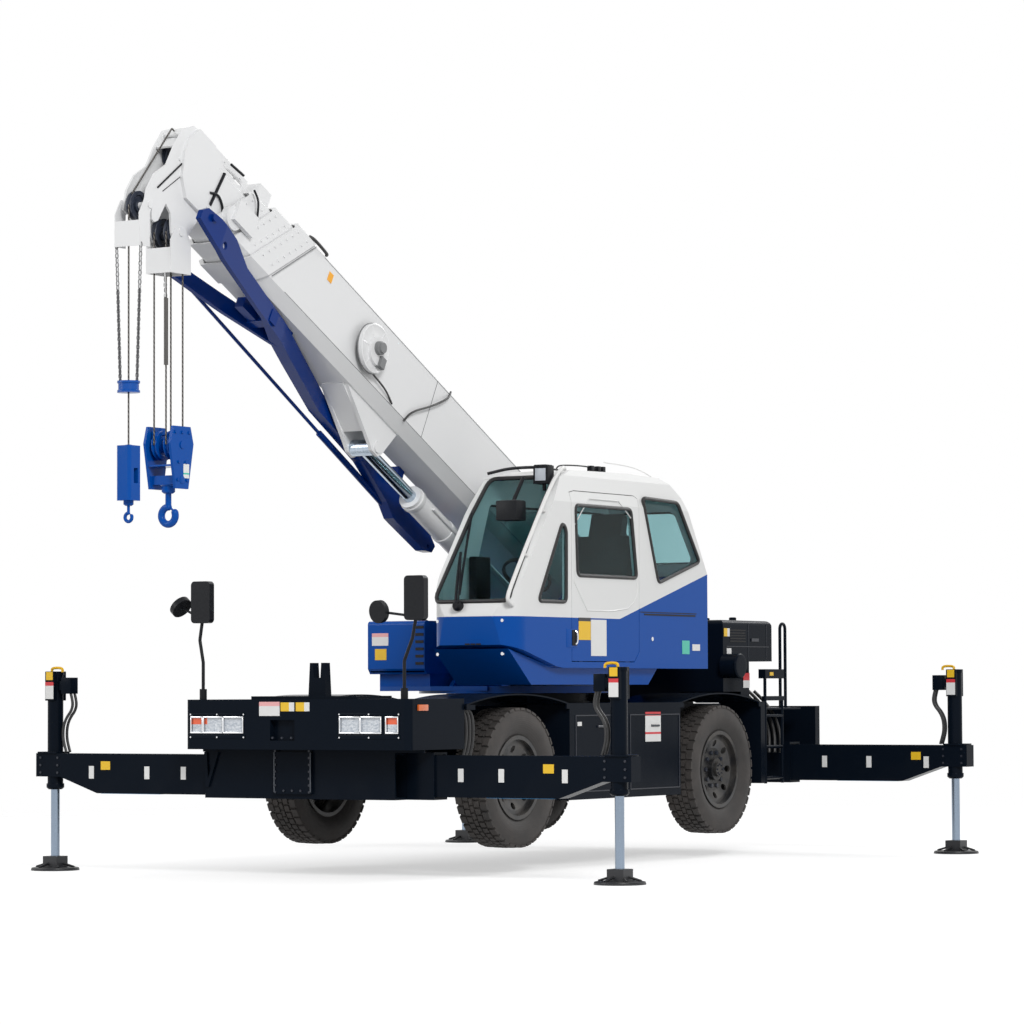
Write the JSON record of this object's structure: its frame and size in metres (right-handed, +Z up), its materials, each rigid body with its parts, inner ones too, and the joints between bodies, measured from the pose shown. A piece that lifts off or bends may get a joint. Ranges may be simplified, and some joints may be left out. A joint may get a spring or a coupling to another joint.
{
  "type": "mobile crane",
  "caption": "Compact mobile crane on outriggers, with a telescopic boom raised over the front, stowed jib, side cab and hanging hooks",
  "frame": {"origin": "on the ground, at the middle of the machine's bounding box", "axes": "+X towards the cab side (the vehicle's left), +Y towards the rear, so the boom points to -Y, +Z up"},
  "size_m": [5.096, 7.9383, 5.1416],
  "materials": {
    "carrier_black": "gloss",
    "crane_white": "gloss",
    "crane_blue": "gloss",
    "jib_blue": "gloss",
    "chrome_rod": "polished",
    "bare_steel": "satin",
    "wire_rope": "satin",
    "tyre_rubber": "matte",
    "wheel_black": "satin",
    "window_glass": "polished",
    "dark_trim": "matte",
    "lamp_lens": "gloss",
    "beacon_orange": "gloss"
  },
  "bodies": {
    "carrier": {"chassis_frame": "carrier_black", "slewing_ring": "carrier_black", "front_outrigger_box": "carrier_black", "rear_outrigger_box": "carrier_black", "front_axle": "carrier_black", "rear_axle": "carrier_black", "front_body": "carrier_black", "lamps": "lamp_lens", "left_side_body": "carrier_black", "right_side_body": "carrier_black", "engine_hood": "carrier_black", "engine_block": "bare_steel", "air_cleaner": "carrier_black", "rear_ladder": "carrier_black", "mirrors": "dark_trim"},
    "superstructure": {"turntable": "crane_blue", "counterweight": "crane_blue", "right_housing": "crane_blue", "beacon": "beacon_orange", "winch_drum": "bare_steel", "cab_shell": "crane_white", "cab_door": "crane_white", "cab_glass": "window_glass", "cab_interior": "dark_trim"},
    "boom": {"boom_base": "crane_white", "cable_reel": "crane_white", "stowed_jib": "jib_blue"},
    "boom_second": {"boom_section_2": "crane_white"},
    "boom_third": {"boom_section_3": "crane_white"},
    "boom_head": {"boom_tip": "crane_white", "head_sheaves": "bare_steel"},
    "main_guard": {"main_rope_guard": "crane_white"},
    "main_hook": {"main_hook_block": "crane_blue", "main_hook_ropes": "wire_rope"},
    "aux_guard": {"aux_rope_guard": "crane_white"},
    "aux_hook_body": {"aux_hook": "crane_blue", "aux_hook_rope": "wire_rope"},
    "lift_barrel_body": {"lift_barrel": "crane_white"},
    "lift_rod_body": {"lift_rod": "chrome_rod"},
    "front_left_beam": {"front_left_outrigger_beam": "carrier_black"},
    "front_left_leg": {"front_left_jack_leg": "chrome_rod"},
    "front_right_beam": {"front_right_outrigger_beam": "carrier_black"},
    "front_right_leg": {"front_right_jack_leg": "chrome_rod"},
    "rear_left_beam": {"rear_left_outrigger_beam": "carrier_black"},
    "rear_left_leg": {"rear_left_jack_leg": "chrome_rod"},
    "rear_right_beam": {"rear_right_outrigger_beam": "carrier_black"},
    "rear_right_leg": {"rear_right_jack_leg": "chrome_rod"},
    "front_left_steering": {"front_left_knuckle": "wheel_black"},
    "front_left_wheel": {"front_left_rim": "wheel_black", "front_left_tyre": "tyre_rubber"},
    "front_right_steering": {"front_right_knuckle": "wheel_black"},
    "front_right_wheel": {"front_right_rim": "wheel_black", "front_right_tyre": "tyre_rubber"},
    "rear_left_steering": {"rear_left_knuckle": "wheel_black"},
    "rear_left_wheel": {"rear_left_rim": "wheel_black", "rear_left_tyre": "tyre_rubber"},
    "rear_right_steering": {"rear_right_knuckle": "wheel_black"},
    "rear_right_wheel": {"rear_right_rim": "wheel_black", "rear_right_tyre": "tyre_rubber"}
  },
  "joints": [
    {"name": "slew", "type": "hinge", "parent": "carrier", "child": "superstructure", "pos_m": [0, 0.8412, 1.29], "axis": [0, 0, 1], "continuous": true},
    {"name": "boom_lift", "type": "hinge", "parent": "superstructure", "child": "boom", "pos_m": [-0.09, 1.6912, 2.1], "axis": [-1, 0, 0], "range_deg": [-28, 54]},
    {"name": "telescope_second", "type": "slide", "parent": "boom", "child": "boom_second", "axis": [0, -0.8829, 0.4695], "range_m": [0, 3.9]},
    {"name": "telescope_third", "type": "slide", "parent": "boom_second", "child": "boom_third", "axis": [0, -0.8829, 0.4695], "range_m": [0, 3.9]},
    {"name": "telescope_head", "type": "slide", "parent": "boom_third", "child": "boom_head", "axis": [0, -0.8829, 0.4695], "range_m": [0, 3.9]},
    {"name": "main_guard_level", "type": "hinge", "parent": "boom_head", "child": "main_guard", "pos_m": [-0.09, -3.45883, 4.40002], "axis": [-1, 0, 0], "range_deg": [-54, 28]},
    {"name": "aux_guard_level", "type": "hinge", "parent": "boom_head", "child": "aux_guard", "pos_m": [-0.09, -3.80096, 4.54682], "axis": [-1, 0, 0], "range_deg": [-54, 28]},
    {"name": "main_hoist", "type": "slide", "parent": "main_guard", "child": "main_hook", "axis": [0, 0, -1], "range_m": [-0.4, 0]},
    {"name": "aux_hoist", "type": "slide", "parent": "aux_guard", "child": "aux_hook_body", "axis": [0, 0, -1], "range_m": [-0.34, 0]},
    {"name": "lift_barrel_swing", "type": "hinge", "parent": "superstructure", "child": "lift_barrel_body", "pos_m": [-0.09, 1.3612, 1.73], "axis": [-1, 0, 0], "range_deg": [-28, 54]},
    {"name": "lift_rod_stroke", "type": "slide", "parent": "lift_barrel_body", "child": "lift_rod_body", "axis": [0, -0.8793, 0.4762], "range_m": [-0.22, 0.4242]},
    {"name": "front_left_beam_slide", "type": "slide", "parent": "carrier", "child": "front_left_beam", "axis": [1, 0, 0], "range_m": [-1.34, 0]},
    {"name": "front_left_jack", "type": "slide", "parent": "front_left_beam", "child": "front_left_leg", "axis": [0, 0, -1], "range_m": [-0.45, 0]},
    {"name": "front_right_beam_slide", "type": "slide", "parent": "carrier", "child": "front_right_beam", "axis": [-1, 0, 0], "range_m": [-1.34, 0]},
    {"name": "front_right_jack", "type": "slide", "parent": "front_right_beam", "child": "front_right_leg", "axis": [0, 0, -1], "range_m": [-0.45, 0]},
    {"name": "rear_left_beam_slide", "type": "slide", "parent": "carrier", "child": "rear_left_beam", "axis": [1, 0, 0], "range_m": [-1.34, 0]},
    {"name": "rear_left_jack", "type": "slide", "parent": "rear_left_beam", "child": "rear_left_leg", "axis": [0, 0, -1], "range_m": [-0.45, 0]},
    {"name": "rear_right_beam_slide", "type": "slide", "parent": "carrier", "child": "rear_right_beam", "axis": [-1, 0, 0], "range_m": [-1.34, 0]},
    {"name": "rear_right_jack", "type": "slide", "parent": "rear_right_beam", "child": "rear_right_leg", "axis": [0, 0, -1], "range_m": [-0.45, 0]},
    {"name": "front_left_steer", "type": "hinge", "parent": "carrier", "child": "front_left_steering", "pos_m": [0.64, -0.6668, 0.684], "axis": [0, 0, 1], "range_deg": [-30, 30]},
    {"name": "front_left_wheel_spin", "type": "hinge", "parent": "front_left_steering", "child": "front_left_wheel", "pos_m": [0.83, -0.6668, 0.684], "axis": [1, 0, 0], "continuous": true},
    {"name": "front_right_steer", "type": "hinge", "parent": "carrier", "child": "front_right_steering", "pos_m": [-0.64, -0.6668, 0.684], "axis": [0, 0, 1], "range_deg": [-30, 30]},
    {"name": "front_right_wheel_spin", "type": "hinge", "parent": "front_right_steering", "child": "front_right_wheel", "pos_m": [-0.83, -0.6668, 0.684], "axis": [1, 0, 0], "continuous": true},
    {"name": "rear_left_steer", "type": "hinge", "parent": "carrier", "child": "rear_left_steering", "pos_m": [0.64, 2.3492, 0.684], "axis": [0, 0, 1], "range_deg": [-30, 30]},
    {"name": "rear_left_wheel_spin", "type": "hinge", "parent": "rear_left_steering", "child": "rear_left_wheel", "pos_m": [0.83, 2.3492, 0.684], "axis": [1, 0, 0], "continuous": true},
    {"name": "rear_right_steer", "type": "hinge", "parent": "carrier", "child": "rear_right_steering", "pos_m": [-0.64, 2.3492, 0.684], "axis": [0, 0, 1], "range_deg": [-30, 30]},
    {"name": "rear_right_wheel_spin", "type": "hinge", "parent": "rear_right_steering", "child": "rear_right_wheel", "pos_m": [-0.83, 2.3492, 0.684], "axis": [1, 0, 0], "continuous": true}
  ],
  "couplings": [
    {"joint": "telescope_third", "follows": "telescope_second", "ratio": 1},
    {"joint": "telescope_head", "follows": "telescope_second", "ratio": 1},
    {"joint": "main_guard_level", "follows": "boom_lift", "ratio": -1},
    {"joint": "aux_guard_level", "follows": "boom_lift", "ratio": -1},
    {"joint": "lift_barrel_swing", "follows": "boom_lift", "ratio": 1},
    {"joint": "lift_rod_stroke", "follows": "boom_lift", "m_per_rad": 0.45},
    {"joint": "front_right_steer", "follows": "front_left_steer", "ratio": 1},
    {"joint": "rear_right_steer", "follows": "rear_left_steer", "ratio": 1}
  ]
}
